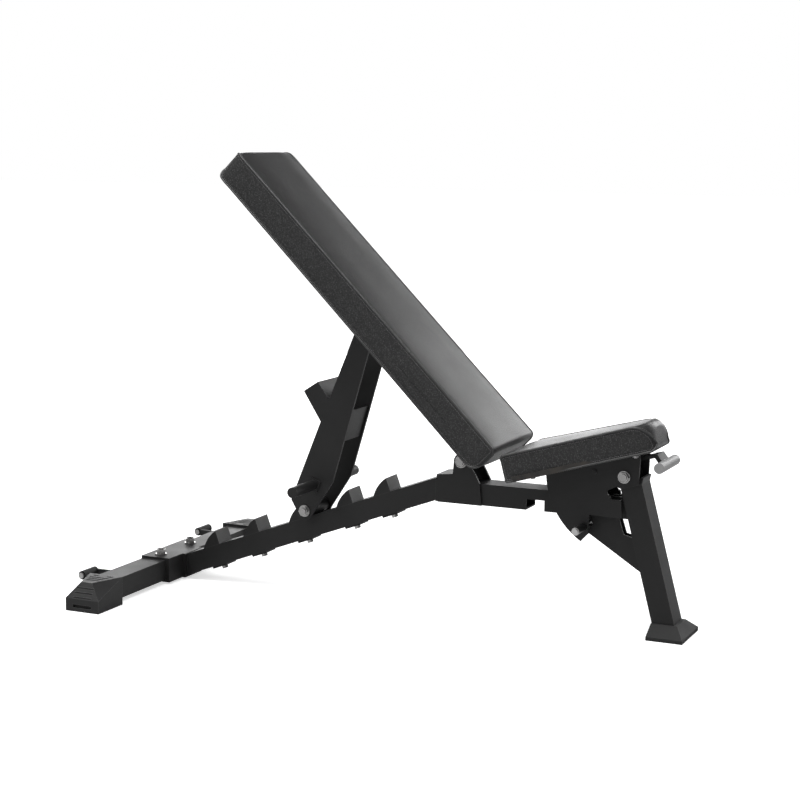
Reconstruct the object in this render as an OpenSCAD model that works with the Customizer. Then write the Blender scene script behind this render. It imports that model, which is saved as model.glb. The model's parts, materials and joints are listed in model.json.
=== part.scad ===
// Adjustable weight bench: wide rear crossbar, laddered spine, leaning front leg,
// hinged backrest held up by a propping arm, and a tilting seat with a release lever.
// X runs along the bench towards the seat, Y across it, Z up. The floor is Z = 0.

/* [Node] */
// Sub-part to draw, or "all"

/* [Tube stock] */
// Width of the frame tubes across the bench
tube_w = 60; // [56:1:64]
// Depth of the frame tubes
tube_h = 48; // [46:1:50]
// Wall of the frame tubes
wall = 3; // [2:0.5:4]

/* [Rear crossbar] */
// X of the crossbar's centre line
cross_x = -594; // [-600:1:-590]
// Height of the crossbar's underside
cross_z = 10; // [8:1:14]
// Width over both end caps
cross_overall = 800; // [780:5:820]
// Length of each end cap
cap_len = 98; // [90:1:105]
// Width of each end cap along X
cap_w = 86; // [82:1:90]
// Height of each end cap
cap_h = 64; // [62:1:68]
// Height of the upright outer end of a cap
cap_end_h = 29; // [25:1:33]

/* [Spine] */
// Slope of the spine, degrees
spine_angle = 20.5; // [20.5:0.1:20.6]
// Height of the catches
catch_h = 32; // [28:1:33]
// Length of a catch at its base
catch_len = 45; // [40:1:46]

/* [Mid section and leg] */
// Height of the top of the level tube
mid_top = 297; // [297:1:298]
// Lean of the front leg, degrees
leg_lean = 15; // [14.8:0.1:15.2]
// Length of the foot across the bench
foot_w = 130; // [120:1:140]
// Length of the foot along the bench
foot_l = 80; // [76:1:84]

/* [Backrest] */
// Length of the back pad
back_len = 890; // [860:1:900]
// Width of the back pad and of the seat's rear end
pad_w = 257; // [245:1:265]
// Foam thickness of the back pad
back_foam = 62; // [55:1:64]
// Slope of the backrest as it stands, degrees
back_angle = 45; // [45:0.1:45.1]

/* [Support arm] */
// Thickness of the arm's side plates
arm_t = 6; // [5:0.5:7]
// Length of each lifting peg
peg_len = 110; // [90:1:120]
// Radius of the lifting pegs
peg_r = 12; // [10:0.5:13]

/* [Seat] */
// Length of the seat pad
seat_len = 325; // [300:1:326]
// Width of the seat's front end
seat_front_w = 138; // [132:1:150]
// Foam thickness of the seat pad
seat_foam = 50; // [45:1:54]
// Slope of the seat as it stands, degrees
seat_angle = 15.3; // [15:0.1:15.5]
// Length of the release lever's grip
grip_len = 122; // [110:1:130]

/* [Transport rollers] */
// Radius of the transport rollers
roller_r = 10; // [9:0.5:11]
// Length of the transport rollers
roller_len = 46; // [40:1:48]

/* [Hidden] */
$fn = 64;
// distance along the spine to the front face of each of the five catches
catch_front = [95, 209, 338, 468, 568];
board_t = 12;
plate_t = 5;
fit_gap = 0.05;
body_gap = 0.3;
bolt_r = 8;
nut_r = 12;
nut_h = 10;
flange_r = 14;
flange_h = 2.5;
nut_recess = 2.5;
spine_x = -545;
spine_z = 61.4;
bend_x = 98;
mid_end = 400;
mid_bottom = mid_top - tube_h;
leg_x = 629;
leg_z = 25;
leg_top = 307;
back_pivot = [161, 344.3];
back_drop = 40;
rail_h = 15;
back_low = 49;
arm_pivot_along = -350.5;
arm_pivot_drop = 16;
seat_pivot = [536.2, 342.2];
seat_drop = 42.4;
seat_rear = -237;
sleeve_r = 16;
arm_in = 45;
peg_at = [-194, 264];
seat_plate_in = 33;
seat_sweep_r = 176;
latch_rod_at = [448, 226];
latch_rod_r = 6;
lever_pin_at = [470, 348];
lever_pin_r = 5;
grip_at = [618, 371];
grip_r = 11.5;
roller_at = [-670, 51];
roller_in = 240;
rim_y = cross_overall / 2 - cap_len;
cross_top = cross_z + tube_h;

frame_col = [0.10, 0.10, 0.11];
cap_col = [0.16, 0.16, 0.17];
steel_col = [0.72, 0.72, 0.70];
vinyl_col = [0.05, 0.05, 0.055];
rubber_col = [0.07, 0.07, 0.07];
grip_col = [0.33, 0.33, 0.34];
board_col = [0.08, 0.07, 0.06];

// ---------- helpers ----------

// Flat plate: an outline drawn in X and Z, standing from y0 to y1.
module plate(y0, y1) {
  translate([0, y1, 0])
    rotate([90, 0, 0])
      linear_extrude(y1 - y0)
        children();
}

// The same plate on both sides of the bench.
module plate_pair(y0, y1) {
  plate(y0, y1)
    children();
  plate(-y1, -y0)
    children();
}

// Round bar across the bench.
module bar_y(at, r, y0, y1) {
  translate([at[0], y1, at[1]])
    rotate([90, 0, 0])
      cylinder(r = r, h = y1 - y0);
}

// Flange nut standing on its base, pointing up, with a round recess in its outer face.
module flange_nut(r = nut_r, h = nut_h) {
  cylinder(r = r + 2, h = flange_h);
  translate([0, 0, flange_h])
    difference() {
      cylinder(r = r, h = h - flange_h, $fn = 6);
      translate([0, 0, h - flange_h - nut_recess])
        cylinder(r = 0.82 * r, h = nut_recess + 1);
    }
}

// Bolt across the bench with a flange nut at each end of the clamped width.
module bolt_y(at, r, y_grip, r_nut = nut_r, h_nut = nut_h) {
  bar_y(at, r, -y_grip - h_nut - 2, y_grip + h_nut + 2);
  for (side = [-1, 1])
    translate([at[0], side * y_grip, at[1]])
      rotate([side * -90, 0, 0])
        difference() {
          flange_nut(r_nut, h_nut);
          translate([0, 0, -1])
            cylinder(r = r, h = h_nut + 3);
        }
}

module on_spine(along, up) {
  translate([spine_x, 0, spine_z])
    rotate([0, -spine_angle, 0])
      translate([along, 0, up])
        children();
}

module on_leg() {
  translate([leg_x, 0, leg_z])
    rotate([0, -leg_lean, 0])
      children();
}

module on_back() {
  translate([back_pivot[0], 0, back_pivot[1]])
    rotate([0, back_angle, 0])
      children();
}

module on_seat() {
  translate([seat_pivot[0], 0, seat_pivot[1]])
    rotate([0, -seat_angle, 0])
      children();
}

// Slab with rounded corners in plan, from x0 to x1, centred across the bench.
module slab(x0, x1, w, h, r) {
  linear_extrude(h)
    union() {
      translate([x0, -w / 2 + r])
        square([x1 - x0, w - 2 * r]);
      translate([x0 + r, -w / 2])
        square([x1 - x0 - 2 * r, w]);
      for (x = [x0 + r, x1 - r])
        for (y = [-w / 2 + r, w / 2 - r])
          translate([x, y])
            circle(r = r);
    }
}

// Flat block with round corners that narrows from w0 at x0 to w1 at x1.
module wedge_slab(x0, x1, w0, w1, h, r) {
  lean = atan((w0 - w1) / 2 / (x1 - x0));
  mid0 = w0 / 2 - r * tan(lean) - r / cos(lean);
  mid1 = w1 / 2 + r * tan(lean) - r / cos(lean);
  step = [r * sin(lean), r * cos(lean)];
  linear_extrude(h)
    union() {
      polygon([[x0, -mid0], [x0 + r + step[0], -mid0 - step[1]],
               [x1 - r + step[0], -mid1 - step[1]], [x1, -mid1],
               [x1, mid1], [x1 - r + step[0], mid1 + step[1]],
               [x0 + r + step[0], mid0 + step[1]], [x0, mid0]]);
      for (side = [-1, 1]) {
        translate([x0 + r, side * mid0])
          circle(r = r);
        translate([x1 - r, side * mid1])
          circle(r = r);
      }
    }
}

module on_side(side) {
  if (side > 0) {
    children();
  } else {
    mirror([0, 1, 0])
      children();
  }
}

// ---------- rear crossbar ----------

module cross_tube() {
  len = 2 * (rim_y + 24);
  color(frame_col)
    translate([cross_x, 0, cross_z])
      difference() {
        translate([-tube_w / 2, -len / 2, 0])
          cube([tube_w, len, tube_h]);
        translate([-tube_w / 2 + wall, -len / 2 - 1, wall])
          cube([tube_w - 2 * wall, len + 2, tube_h - 2 * wall]);
      }
}

// Tilted cutter that takes off everything beyond a plane through three points.
module cut_beyond(a, b, c) {
  n = cross(b - a, c - a) / norm(cross(b - a, c - a));
  translate(a)
    rotate([0, acos(n[2]), atan2(n[1], n[0])])
      translate([-200, -200, 0])
        cube([400, 400, 120]);
}

// One moulded end cap on the +Y end: wedge end, sloped shoulders and a tread on top.
module cap_body() {
  y_end = cross_overall / 2;
  half = cap_w / 2;
  y_top = y_end - 19;
  nose = 14;
  translate([cross_x, 0, 0])
    difference() {
      union() {
        difference() {
          rotate([90, 0, 90])
            translate([0, 0, -half])
              linear_extrude(cap_w)
                polygon([[rim_y, 0], [y_end, 0], [y_end, cap_end_h], [y_top, cap_h],
                         [rim_y, cap_h]]);
          cut_beyond([half, y_end, cap_end_h], [nose, y_top, cap_h], [half, rim_y, cap_h]);
          cut_beyond([-half, y_end, cap_end_h], [-half, rim_y, cap_h],
                     [-nose, y_top, cap_h]);
        }
        for (i = [0 : 2])
          translate([-24 + 3 * i, rim_y + 26 + 13 * i, cap_h])
            cube([48 - 6 * i, 4, 1]);
        for (side = [-1, 1])
          translate([side * 18 - 6, rim_y + 10, cap_h])
            cube([12, 5, 1]);
      }
      translate([-tube_w / 2, rim_y - 1, cross_z])
        cube([tube_w, 25, tube_h]);
      translate([-24, y_end - 6, 9])
        cube([48, 7, 7]);
      for (i = [0 : 2])
        translate([-24, y_end - 4 - 5.4 * i, cap_end_h + 2.5 + 10 * i])
          rotate([-28, 0, 0])
            cube([48, 5, 2.2]);
    }
}

module cap_left() {
  color(cap_col)
    on_side(1)
      cap_body();
}

module cap_right() {
  color(cap_col)
    on_side(-1)
      cap_body();
}

// Folded bracket that sits over the crossbar and carries the spine.
module saddle() {
  half = 98;
  color(frame_col)
    difference() {
      translate([cross_x - tube_w / 2 - 5, -half, cross_z - 5])
        cube([tube_w + 16, 2 * half, tube_h + 10]);
      translate([cross_x - tube_w / 2, -half - 1, cross_z])
        cube([tube_w, 2 * half + 2, tube_h]);
      for (side = [-1, 1])
        translate([cross_x, side * 67, cross_z - 6])
          cylinder(r = 7, h = tube_h + 12);
    }
}

module saddle_bolts() {
  color(steel_col)
    for (side = [-1, 1])
      translate([cross_x, side * 67, 0]) {
        translate([0, 0, cross_top + 5]) {
          flange_nut(11.5, 13);
          cylinder(r = 6, h = 17);
        }
        translate([0, 0, cross_z - 5])
          mirror([0, 0, 1])
            cylinder(r = 11, h = 4.5, $fn = 6);
      }
}

module spine_flange() {
  color(frame_col)
    translate([cross_x + tube_w / 2 + 11, -38, cross_z - 5])
      cube([8, 76, tube_h + 10]);
}

// ---------- transport rollers ----------

module roller_bracket(side) {
  reach = roller_at[0];
  back_face = cross_x - tube_w / 2;
  color(frame_col)
    on_side(side)
      union() {
        difference() {
          union() {
            translate([reach, roller_in - 7, roller_at[1] - 9])
              cube([back_face - reach, 5, 15]);
            bar_y(roller_at, roller_r, roller_in - 7, roller_in - 2);
          }
          bar_y(roller_at, 4, roller_in - 8, roller_in - 1);
        }
        translate([back_face - 4, roller_in - 22, cross_z + 14])
          cube([4, 20, tube_h - 18]);
      }
}

module roller_bolt(side) {
  color(steel_col)
    on_side(side) {
      bar_y(roller_at, 4, roller_in - 12, roller_in + roller_len + 1);
      bar_y(roller_at, 6.5, roller_in + roller_len + 0.8, roller_in + roller_len + 5);
      translate([roller_at[0], roller_in - 7, roller_at[1]])
        rotate([90, 0, 0])
          cylinder(r = 7, h = 5, $fn = 6);
    }
}

module roller(side) {
  color(rubber_col)
    on_side(side)
      difference() {
        bar_y(roller_at, roller_r, roller_in - 1, roller_in + roller_len);
        bar_y(roller_at, 4 + fit_gap, roller_in - 2, roller_in + roller_len + 1);
      }
}

module roller_bracket_left() { roller_bracket(1); }
module roller_bracket_right() { roller_bracket(-1); }
module roller_bolt_left() { roller_bolt(1); }
module roller_bolt_right() { roller_bolt(-1); }
module roller_left() { roller(1); }
module roller_right() { roller(-1); }

// ---------- spine with its ladder of catches ----------

module spine_profile(inset) {
  slope = tan(spine_angle);
  drop = (tube_h - inset) / cos(spine_angle);
  top = inset / cos(spine_angle);
  run = bend_x - spine_x;
  polygon([[spine_x, spine_z - top], [bend_x, spine_z + run * slope - top],
           [bend_x, spine_z + run * slope - drop], [spine_x, spine_z - drop]]);
}

module spine_tube() {
  color(frame_col)
    difference() {
      plate(-tube_w / 2, tube_w / 2)
        spine_profile(0);
      plate(-tube_w / 2 + wall, tube_w / 2 - wall)
        spine_profile(wall);
      for (front = catch_front)
        on_spine(front - catch_len / 2, -tube_h - 5)
          cylinder(r = 5, h = tube_h + 10);
    }
}

// Shark-fin catch: rounded ramp behind, upright face in front.
module catch(i) {
  belly = 5;
  chord = norm([catch_len, catch_h]);
  sweep_r = (chord * chord / 4 + belly * belly) / (2 * belly);
  lift = sweep_r - belly;
  color(frame_col)
    on_spine(catch_front[i], 0)
      difference() {
        plate(-tube_w / 2, tube_w / 2)
          intersection() {
            translate([-catch_len, 0])
              square([catch_len, catch_h]);
            translate([-catch_len / 2 + lift * catch_h / chord,
                       catch_h / 2 - lift * catch_len / chord])
              circle(r = sweep_r, $fn = 128);
          }
        translate([-catch_len / 2, 0, -1])
          cylinder(r = 5, h = 13);
      }
}

module catch_1() { catch(0); }
module catch_2() { catch(1); }
module catch_3() { catch(2); }
module catch_4() { catch(3); }
module catch_5() { catch(4); }

module catch_bolts() {
  color(steel_col)
    for (front = catch_front)
      on_spine(front - catch_len / 2, -tube_h - 12) {
        cylinder(r = 5, h = tube_h + 22);
        cylinder(r = 8, h = 7, $fn = 6);
      }
}

module catch_plates() {
  color(frame_col)
    for (front = catch_front)
      on_spine(front - catch_len / 2, -tube_h - 5)
        difference() {
          translate([-20, -22, 0])
            cube([40, 44, 5]);
          translate([0, 0, -1])
            cylinder(r = 5, h = 7);
        }
}

// ---------- level tube, pivot bracket, gussets and front leg ----------

module mid_tube() {
  notch_x = 313;
  color(frame_col)
    difference() {
      translate([bend_x, -tube_w / 2, mid_bottom])
        cube([mid_end - bend_x, tube_w, tube_h]);
      translate([bend_x - 1, -tube_w / 2 + wall, mid_bottom + wall])
        cube([mid_end - bend_x + 2, tube_w - 2 * wall, tube_h - 2 * wall]);
      translate([notch_x, -tube_w / 2 - 1, mid_bottom - 1])
        cube([42, tube_w + 2, 25]);
    }
}

// Side plates over the bend, with two ears that carry the backrest bolt.
module pivot_bracket() {
  p = back_pivot;
  ear_r = 18;
  color(frame_col) {
    difference() {
      plate_pair(tube_w / 2, tube_w / 2 + plate_t)
        difference() {
          union() {
            polygon([[105, mid_bottom], [210, mid_bottom], [205, 298], [191, 324],
                     [p[0] + ear_r - 2, p[1]], [p[0] - ear_r, p[1]], [141, 315],
                     [102, 311]]);
            translate(p)
              circle(r = ear_r);
          }
        }
      bar_y(p, bolt_r, -tube_w, tube_w);
    }
    plate(-tube_w / 2, tube_w / 2)
      polygon([[102, mid_top], [141, mid_top], [141, 315], [102, 311]]);
  }
}

module back_pivot_bolt() {
  color(steel_col)
    bolt_y(back_pivot, bolt_r, tube_w / 2 + plate_t);
}

// Pair of web plates that join the level tube to the leg.
module gussets() {
  in_y = 8;
  out_y = in_y + plate_t;
  lean = tan(leg_lean);
  half = tube_h / 2 / cos(leg_lean);
  rear_at = function (z) leg_x - half - (z - leg_z) * lean;
  low = 129;
  color(frame_col)
    difference() {
      plate_pair(in_y, out_y)
        polygon([[370, mid_bottom + wall], [mid_end + 1, mid_bottom + wall], [407, 236],
                 [rear_at(low), low], [rear_at(mid_top - wall), mid_top - wall],
                 [370, mid_top - wall]]);
      plate_pair(in_y - 1, out_y + 1)
        difference() {
          intersection() {
            translate(seat_pivot)
              circle(r = 158);
            polygon([seat_pivot, seat_pivot + 260 * [cos(213.5), sin(213.5)],
                     seat_pivot + 260 * [cos(236), sin(236)]]);
          }
          translate(seat_pivot)
            circle(r = 134);
        }
      plate_pair(in_y - 1, out_y + 1)
        polygon([[rear_at(246) - 26, 246.5], [rear_at(246) + 0.5, 246.5],
                 [rear_at(205) + 0.5, 205], [rear_at(212) - 24, 212]]);
    }
}

module leg_tube() {
  color(frame_col)
    on_leg()
      difference() {
        translate([-tube_h / 2, -tube_w / 2, -14])
          cube([tube_h, tube_w, leg_top + 14]);
        translate([-tube_h / 2 + wall, -tube_w / 2 + wall, -15])
          cube([tube_h - 2 * wall, tube_w - 2 * wall, leg_top + 16]);
      }
}

// Ears and front web on top of the leg, for the seat pivot.
module leg_head() {
  p = seat_pivot;
  rear = [leg_x - leg_top * sin(leg_lean) - tube_h / 2 * cos(leg_lean),
          leg_z + leg_top * cos(leg_lean) - tube_h / 2 * sin(leg_lean)];
  front = rear + tube_h * [cos(leg_lean), sin(leg_lean)];
  color(frame_col) {
    difference() {
      plate_pair(tube_w / 2 - plate_t, tube_w / 2)
        union() {
          polygon([rear, front, p + [20, 0], p - [20, 0]]);
          translate(p)
            circle(r = 20);
        }
      bar_y(p, bolt_r, -tube_w, tube_w);
    }
    plate(-tube_w / 2, tube_w / 2)
      polygon([front - [6, 1.6], front, front + [3, 14], front + [-3, 14]]);
  }
}

// Flared foot with a low upright rim.
module foot() {
  front = 680;
  mid = front - foot_l / 2;
  top = 30;
  rim = 8;
  color(rubber_col)
    difference() {
      intersection() {
        plate(-foot_w / 2, foot_w / 2)
          polygon([[front - foot_l, 0], [front, 0], [front, rim], [mid + 20, top],
                   [mid - 38, top], [front - foot_l, rim]]);
        translate([front - foot_l, 0, 0])
          rotate([90, 0, 90])
            linear_extrude(foot_l)
              polygon([[-foot_w / 2, 0], [foot_w / 2, 0], [foot_w / 2, rim],
                       [tube_w / 2 + 4, top], [-tube_w / 2 - 4, top],
                       [-foot_w / 2, rim]]);
      }
      on_leg()
        translate([-tube_h / 2, -tube_w / 2, -14])
          cube([tube_h, tube_w, 60]);
    }
}

module seat_pivot_bolt() {
  color(steel_col) {
    bolt_y(seat_pivot, bolt_r, seat_plate_in + plate_t + 0.5, 11.5, 9);
    difference() {
      bar_y(seat_pivot, 12, -tube_w / 2 + plate_t, tube_w / 2 - plate_t);
      bar_y(seat_pivot, bolt_r, -tube_w / 2, tube_w / 2);
    }
  }
}

// ---------- backrest ----------

module back_pad() {
  color(vinyl_col)
    on_back()
      translate([0, 0, back_drop + board_t])
        slab(back_low - back_len, back_low, pad_w, back_foam, 24);
}

module back_board() {
  inset = 8;
  color(board_col)
    on_back()
      translate([0, 0, back_drop])
        slab(back_low - back_len + inset, back_low - inset, pad_w - 2 * inset, board_t, 20);
}

// Two flat tubes that stiffen the board and carry the hinge.
module back_rails() {
  rail_in = 12;
  rail_w = 25;
  rail_front = 2;
  rail_rear = -770;
  color(frame_col)
    on_back()
      for (side = [-1, 1])
        difference() {
          translate([rail_rear, side * (rail_in + rail_w / 2) - rail_w / 2,
                     back_drop - rail_h])
            cube([rail_front - rail_rear, rail_w, rail_h]);
          translate([rail_rear - 1, side * (rail_in + rail_w / 2) - rail_w / 2 + 2,
                     back_drop - rail_h + 2])
            cube([rail_front - rail_rear + 2, rail_w - 4, rail_h - 4]);
        }
}

module back_hinge() {
  barrel_r = 13;
  color(frame_col)
    difference() {
      union() {
        bar_y(back_pivot, barrel_r, -tube_w / 2 + 0.5, tube_w / 2 - 0.5);
        on_back()
          for (side = [-1, 1])
            translate([-22, side * 24 - 3, 0])
              cube([44, 6, back_drop - rail_h]);
      }
      bar_y(back_pivot, bolt_r + fit_gap, -tube_w, tube_w);
    }
}

module arm_lugs() {
  color(frame_col)
    on_back()
      difference() {
        plate_pair(37, 43)
          union() {
            translate([arm_pivot_along, arm_pivot_drop])
              circle(r = 15);
            translate([arm_pivot_along - 26, back_drop - 6])
              square([52, 6]);
            polygon([[arm_pivot_along - 26, back_drop - 6],
                     [arm_pivot_along + 26, back_drop - 6],
                     [arm_pivot_along + 14.5, arm_pivot_drop - 4],
                     [arm_pivot_along - 14.5, arm_pivot_drop - 4]]);
          }
        bar_y([arm_pivot_along, arm_pivot_drop], bolt_r, -60, 60);
      }
}

module arm_pivot_bolt() {
  color(steel_col)
    on_back()
      bolt_y([arm_pivot_along, arm_pivot_drop], bolt_r, arm_in + arm_t + 0.5, 11, 8);
}

module back_screws() {
  color(steel_col)
    on_back()
      for (x = [-720, -500, -220, -40])
        for (side = [-1, 1])
          translate([x, side * 70, back_drop - 3]) {
            cylinder(r = 8, h = 3);
            translate([0, 0, -3])
              cylinder(r = 5, h = 3);
          }
}

// ---------- support arm ----------

// Where the arm hangs from the backrest, and where its foot rests in the third catch.
arm_top = [back_pivot[0] + arm_pivot_along * cos(back_angle) + arm_pivot_drop * sin(back_angle),
           back_pivot[1] - arm_pivot_along * sin(back_angle) + arm_pivot_drop * cos(back_angle)];
foot_along = catch_front[2] + sleeve_r + body_gap;
foot_up = sleeve_r + body_gap;
arm_foot = [spine_x + foot_along * cos(spine_angle) - foot_up * sin(spine_angle),
            spine_z + foot_along * sin(spine_angle) + foot_up * cos(spine_angle)];

module arm_outline() {
  difference() {
    union() {
      translate(arm_top)
        circle(r = 22.5);
      translate(arm_foot)
        circle(r = 21);
      polygon([arm_top + [-21.5, 7], [-157.5, 462], [-186, 501.7], [-221.6, 478.5],
               [-178.6, 410.8], [-253.6, 224.4], arm_foot + [-21, 0],
               arm_foot + [15, -14.5], [-147.8, 273], arm_top + [22, -5]]);
    }
    translate(arm_top)
      circle(r = bolt_r + fit_gap);
    translate(arm_foot)
      circle(r = bolt_r);
  }
}

module arm_plate_left() {
  color(frame_col)
    plate(arm_in, arm_in + arm_t)
      arm_outline();
}

module arm_plate_right() {
  color(frame_col)
    plate(-arm_in - arm_t, -arm_in)
      arm_outline();
}

module arm_tie() {
  color(frame_col)
    plate(-arm_in, arm_in)
      polygon([[-109, 441], [-104, 440], [-125, 368], [-130, 369]]);
}

module arm_stub_cover() {
  color(frame_col)
    plate(-arm_in, arm_in)
      polygon([[-157.5, 462], [-186, 501.7], [-221.6, 478.5], [-218.8, 474.2],
               [-187.3, 494.7], [-161.5, 459]]);
}

module peg(side) {
  washer = 27;
  y0 = arm_in + arm_t;
  color(frame_col)
    on_side(side) {
      bar_y(peg_at, peg_r, y0, y0 + peg_len);
      translate([peg_at[0], y0 + 4, peg_at[1]])
        rotate([90, 20, 0])
          linear_extrude(4)
            difference() {
              square([washer, washer], center = true);
              circle(r = peg_r);
            }
    }
}

module peg_left() { peg(1); }
module peg_right() { peg(-1); }

module arm_axle() {
  color(steel_col)
    bolt_y(arm_foot, bolt_r, arm_in + arm_t, 11.5, 9);
}

module arm_sleeve() {
  color(steel_col)
    difference() {
      bar_y(arm_foot, sleeve_r, -arm_in, arm_in);
      bar_y(arm_foot, bolt_r, -arm_in - 1, arm_in + 1);
    }
}

// ---------- seat ----------

module seat_pad() {
  color(vinyl_col)
    on_seat()
      translate([0, 0, seat_drop + board_t])
        wedge_slab(seat_rear, seat_rear + seat_len, pad_w, seat_front_w, seat_foam, 20);
}

// Tapered like the pad, with its corners cut off straight.
module seat_board() {
  inset = 8;
  cut = 12;
  x0 = seat_rear + inset;
  x1 = seat_rear + seat_len - inset;
  half0 = pad_w / 2 - inset;
  half1 = seat_front_w / 2 - inset;
  color(board_col)
    on_seat()
      translate([0, 0, seat_drop])
        linear_extrude(board_t)
          polygon([[x0, -half0 + cut], [x0 + cut, -half0],
                   [x1 - cut, -half1], [x1, -half1 + cut],
                   [x1, half1 - cut], [x1 - cut, half1],
                   [x0 + cut, half0], [x0, half0 - cut]]);
}

// Side plate: swept rear edge, pointed lower lobe, relief beside the leg.
module seat_plate_outline() {
  under = function (x) seat_pivot[1] + (x - seat_pivot[0]) * tan(seat_angle)
                       + seat_drop / cos(seat_angle);
  difference() {
    intersection() {
      translate(seat_pivot)
        circle(r = seat_sweep_r, $fn = 128);
      polygon([[350, under(350)], [570, under(570)], [568, 328], [528, 315],
               [533, 252.5], [460, 253.5], [458.5, 211.5], [438.6, 190], [340, 190]]);
    }
    translate(seat_pivot)
      circle(r = bolt_r + fit_gap);
    translate([506, 306])
      circle(r = 7);
    polygon([[506, 299], [506, 313], [519, 320], [529, 316], [531, 291], [507, 291]]);
    translate(latch_rod_at)
      circle(r = latch_rod_r);
    translate(lever_pin_at)
      circle(r = lever_pin_r);
  }
}

module seat_plate_left() {
  color(frame_col)
    plate(seat_plate_in, seat_plate_in + plate_t)
      seat_plate_outline();
}

module seat_plate_right() {
  color(frame_col)
    plate(-seat_plate_in - plate_t, -seat_plate_in)
      seat_plate_outline();
}

module seat_tie() {
  color(frame_col)
    on_seat()
      difference() {
        translate([-160, -seat_plate_in, seat_drop - 20])
          cube([30, 2 * seat_plate_in, 20]);
        translate([-158, -seat_plate_in - 1, seat_drop - 18])
          cube([26, 2 * seat_plate_in + 2, 16]);
      }
}

module seat_screws() {
  color(steel_col)
    on_seat()
      for (at = [[-190, 70], [40, 50]])
        for (side = [-1, 1])
          translate([at[0], side * at[1], seat_drop - 3]) {
            cylinder(r = 8, h = 3);
            translate([0, 0, -3])
              cylinder(r = 5, h = 3);
          }
}

// Cross rod that travels in the gusset slots and stops the seat at both ends.
module latch_rod() {
  reach = 92;
  color(frame_col) {
    bar_y(latch_rod_at, latch_rod_r, -reach, reach);
    for (side = [-1, 1]) {
      y_mid = side * (reach + seat_plate_in + plate_t) / 2;
      half = (reach - seat_plate_in - plate_t) / 2;
      difference() {
        bar_y(latch_rod_at, 8.5, y_mid - half, y_mid + half);
        bar_y(latch_rod_at, latch_rod_r, -reach - 1, reach + 1);
      }
    }
  }
  color(steel_col)
    for (side = [-1, 1])
      translate([latch_rod_at[0], side * reach, latch_rod_at[1]])
        rotate([side * -90, 0, 0])
          cylinder(r = 7, h = 5);
}

module lever_pin() {
  color(steel_col)
    bar_y(lever_pin_at, lever_pin_r, -seat_plate_in - plate_t - 3,
          seat_plate_in + plate_t + 3);
}

module lever_spring() {
  coil_first = 20;
  coil_step = 2;
  coil_gap = 2.2;
  wire_r = 0.95;
  color(steel_col)
    for (side = [-1, 1])
      for (i = [0 : 4])
        translate([lever_pin_at[0], side * (coil_first + coil_step * i), lever_pin_at[1]])
          rotate([90, 0, 0])
            rotate_extrude()
              translate([lever_pin_r + coil_gap, 0])
                circle(r = wire_r, $fn = 16);
}

// ---------- release lever ----------

lever_fold = [603, 394];

module lever_outline() {
  polygon([lever_pin_at + [-4, 9], lever_pin_at + [4, -9], [522, 365],
           [598, 386], [606, 375], [614, 380], lever_fold, [520, 373]]);
}

// Narrow between the seat plates and broad in front of them.
module lever_bar() {
  half = 15;
  end_half = 25;
  end_from = 586;
  end_size = 60;
  color(frame_col)
    difference() {
      union() {
        bar_y(lever_pin_at, 10, -half, half);
        plate(-half, half)
          lever_outline();
        intersection() {
          plate(-end_half, end_half)
            lever_outline();
          translate([end_from, -end_half, grip_at[1] - end_size / 2])
            cube([end_size, 2 * end_half, end_size]);
        }
      }
      bar_y(lever_pin_at, lever_pin_r + fit_gap, -half - 1, half + 1);
      bar_y(grip_at, grip_r, -end_half - 1, end_half + 1);
    }
}

module lever_tail() {
  color(frame_col)
    difference() {
      plate(-4, 4)
        polygon([lever_pin_at + [-8, -8], lever_pin_at + [8, -8], [462, 250],
                 [450, 246], [448, 256]]);
      bar_y(lever_pin_at, 10, -5, 5);
    }
}

module lever_grip() {
  color(grip_col)
    bar_y(grip_at, grip_r, -grip_len / 2, grip_len / 2);
}

// ---------- drawing ----------

cross_tube();
cap_left();
cap_right();
saddle();
saddle_bolts();
spine_flange();
roller_bracket_left();
roller_bracket_right();
roller_bolt_left();
roller_bolt_right();
roller_left();
roller_right();
spine_tube();
catch_1();
catch_2();
catch_3();
catch_4();
catch_5();
catch_bolts();
catch_plates();
mid_tube();
pivot_bracket();
back_pivot_bolt();
gussets();
leg_tube();
leg_head();
foot();
seat_pivot_bolt();
back_pad();
back_board();
back_rails();
back_hinge();
arm_lugs();
arm_pivot_bolt();
back_screws();
arm_plate_left();
arm_plate_right();
arm_tie();
arm_stub_cover();
peg_left();
peg_right();
arm_axle();
arm_sleeve();
seat_pad();
seat_board();
seat_plate_left();
seat_plate_right();
seat_tie();
seat_screws();
latch_rod();
lever_pin();
lever_spring();
lever_bar();
lever_tail();
lever_grip();
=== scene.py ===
"""Adjustable weight bench: finishes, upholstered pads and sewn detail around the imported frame."""

import json
import logging
import math
from dataclasses import dataclass, field
from enum import Enum
from typing import Callable, Iterable, Sequence

import bmesh
import bpy
import numpy as np
from mathutils import Matrix, Vector, noise
from mathutils.bvhtree import BVHTree
from mathutils.kdtree import KDTree


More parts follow.
